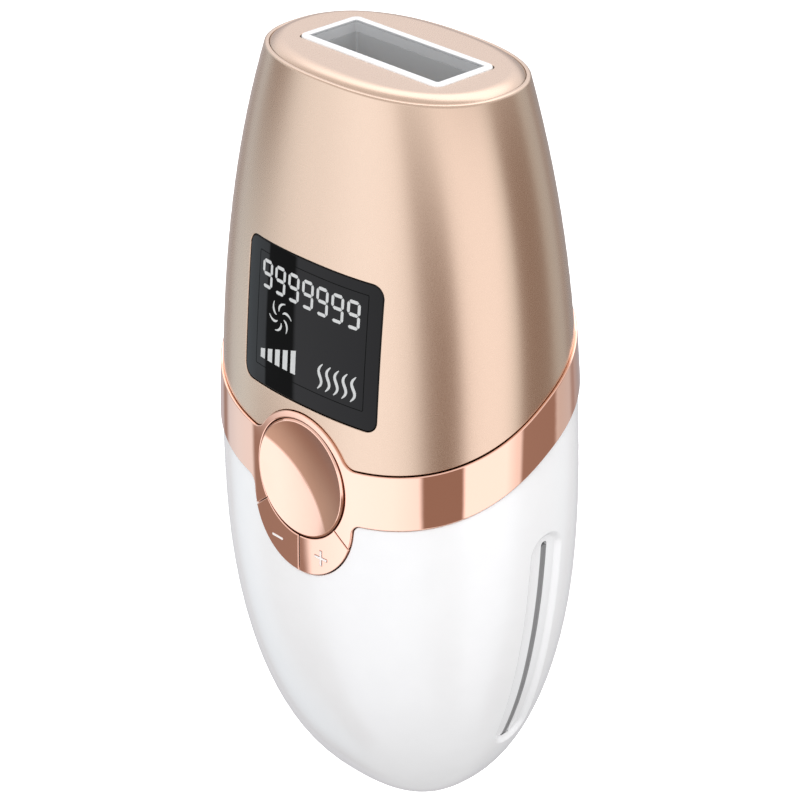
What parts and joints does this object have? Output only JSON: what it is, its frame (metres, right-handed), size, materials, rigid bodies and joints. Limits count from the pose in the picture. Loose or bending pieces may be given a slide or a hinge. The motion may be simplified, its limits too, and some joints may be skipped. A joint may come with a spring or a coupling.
{
  "type": "ipl hair remover",
  "caption": "Handheld pulsed-light hair remover: tapered sleeve over a rounded cup, mirror band with flash button and level keys, display, side air slots and a pull-out lamp cartridge.",
  "frame": {"origin": "bottom tip of the cup, on the body's axis", "axes": "+Z along the body's axis towards the lamp window, +X towards the plus key, -Y out of the display and the flash button"},
  "size_m": [0.072, 0.047, 0.1409],
  "materials": {
    "champagne": "satin metallic champagne paint on a plastic shell",
    "rose_mirror": "mirror rose-gold plating on plastic",
    "white_gloss": "polished white",
    "lens_black": "polished smoked black acrylic",
    "foam_black": "matte foam",
    "lcd_glass": "polished glass over dark cell",
    "white_matte": "moulded",
    "black_matte": "fine moulded texture",
    "slot_grey": "fine moulded texture",
    "board_green": "solder mask",
    "steel": "bright plated",
    "ferrite": "sintered ferrite grey",
    "winding_tape": "amber tape",
    "capacitor_sleeve": "shrink sleeve",
    "raw_aluminium": "bright extruded",
    "brass_contact": "plated contact",
    "lead_red": "silicone insulation",
    "lead_black": "silicone insulation",
    "cartridge_grey": "heat-proof moulding",
    "filter_glass": "coated filter glass",
    "quartz": "clear quartz"
  },
  "bodies": {
    "housing": {"upper_shell": "champagne", "top_cap": "champagne", "trim_ring": "rose_mirror", "lower_shell": "white_gloss", "display_lens": "lens_black", "display_gasket": "foam_black", "lcd_module": "lcd_glass", "lcd_backlight": "white_matte", "control_pcb": "board_green", "control_screws": "steel", "buzzer": "black_matte", "flash_switch": "steel", "minus_switch": "steel", "plus_switch": "steel", "chassis": "white_matte", "main_pcb": "board_green", "board_screws": "steel", "boost_transformer": "ferrite", "power_transistor": "black_matte", "trigger_transformer": "winding_tape", "flash_capacitor": "capacitor_sleeve", "capacitor_strap": "white_matte", "fan_housing": "black_matte", "fan_screws": "steel", "vent_insert_left": "slot_grey", "vent_insert_right": "slot_grey", "dc_jack": "black_matte", "jack_pin": "steel", "heatsink": "raw_aluminium", "cartridge_socket": "white_matte", "socket_contacts": "brass_contact", "thermal_fuse": "white_matte", "power_leads": "lead_red", "capacitor_leads": "lead_black"},
    "flash_button": {"flash_button": "rose_mirror", "button_stem": "white_matte"},
    "flash_plunger": {"flash_plunger": "black_matte"},
    "minus_key": {"minus_key": "rose_mirror"},
    "minus_plunger": {"minus_plunger": "black_matte"},
    "plus_key": {"plus_key": "rose_mirror"},
    "plus_plunger": {"plus_plunger": "black_matte"},
    "fan_rotor": {"fan_rotor": "black_matte"},
    "lamp_cartridge": {"cartridge_frame": "white_gloss", "cartridge_body": "cartridge_grey", "reflector": "raw_aluminium", "filter_glass": "filter_glass", "lamp_tube": "quartz", "lamp_electrodes": "steel", "trigger_wire": "steel", "cartridge_contacts": "brass_contact"}
  },
  "joints": [
    {"name": "flash_button_press", "type": "slide", "parent": "housing", "child": "flash_button", "axis": [0, 1, 0], "range_m": [0, 0.0006], "stiffness_N_per_m": 400},
    {"name": "flash_plunger_press", "type": "slide", "parent": "housing", "child": "flash_plunger", "axis": [0, 1, 0], "range_m": [0, 0.0006]},
    {"name": "minus_key_press", "type": "slide", "parent": "housing", "child": "minus_key", "axis": [0, 1, 0], "range_m": [0, 0.0004], "stiffness_N_per_m": 400},
    {"name": "minus_plunger_press", "type": "slide", "parent": "housing", "child": "minus_plunger", "axis": [0, 1, 0], "range_m": [0, 0.0004]},
    {"name": "plus_key_press", "type": "slide", "parent": "housing", "child": "plus_key", "axis": [0, 1, 0], "range_m": [0, 0.0004], "stiffness_N_per_m": 400},
    {"name": "plus_plunger_press", "type": "slide", "parent": "housing", "child": "plus_plunger", "axis": [0, 1, 0], "range_m": [0, 0.0004]},
    {"name": "fan_spin", "type": "hinge", "parent": "housing", "child": "fan_rotor", "pos_m": [0.0175, 0, 0.04], "axis": [1, 0, 0], "continuous": true},
    {"name": "cartridge_pull", "type": "slide", "parent": "housing", "child": "lamp_cartridge", "axis": [0, 0, 1], "range_m": [0, 0.04]}
  ],
  "couplings": [
    {"joint": "flash_plunger_press", "follows": "flash_button_press", "ratio": 1},
    {"joint": "minus_plunger_press", "follows": "minus_key_press", "ratio": 1},
    {"joint": "plus_plunger_press", "follows": "plus_key_press", "ratio": 1}
  ]
}
